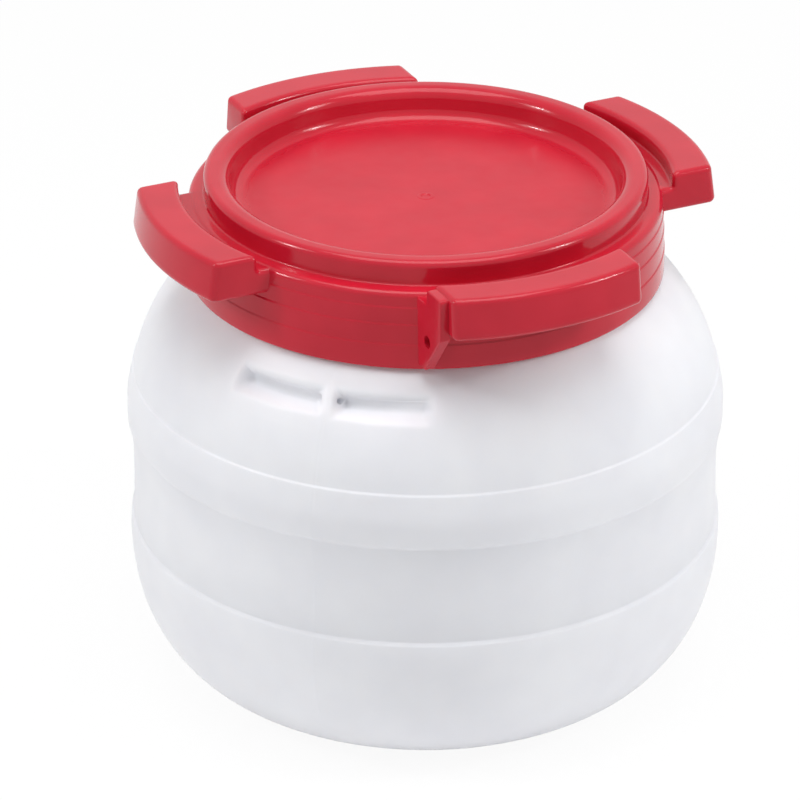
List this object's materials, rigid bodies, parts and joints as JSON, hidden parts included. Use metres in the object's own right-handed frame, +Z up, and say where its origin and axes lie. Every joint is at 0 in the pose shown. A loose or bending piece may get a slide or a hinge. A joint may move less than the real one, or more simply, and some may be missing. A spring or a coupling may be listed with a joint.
{
  "type": "wide-mouth plastic drum",
  "caption": "Squat round-shouldered plastic drum with a threaded wide mouth, a flat sealing ring and a screw lid that carries grip lugs and a dished top.",
  "frame": {"origin": "centre of the foot ring, on the floor that the drum stands on", "axes": "+Z up along the drum's axis, through the middle of the mouth; the drum's seal eye is in the front left, towards -Y"},
  "size_m": [0.2076, 0.2076, 0.1873],
  "materials": {
    "natural_hdpe": "blow-moulded, uncoloured, satin",
    "red_lid_plastic": "injection-moulded, glossy",
    "seal_rubber": "moulded, matte"
  },
  "bodies": {
    "drum": {"drum_body": "natural_hdpe"},
    "gasket": {"lid_gasket": "seal_rubber"},
    "lid": {"screw_lid": "red_lid_plastic"}
  },
  "joints": [
    {"name": "lid_rise", "type": "slide", "parent": "drum", "child": "gasket", "axis": [0, 0, 1], "range_m": [0, 0.0316]},
    {"name": "lid_turn", "type": "hinge", "parent": "gasket", "child": "lid", "pos_m": [0, 0, 0.1513], "axis": [0, 0, 1], "range_deg": [0, 1620]}
  ],
  "couplings": [
    {"joint": "lid_rise", "follows": "lid_turn", "m_per_rad": 0.0011141}
  ]
}
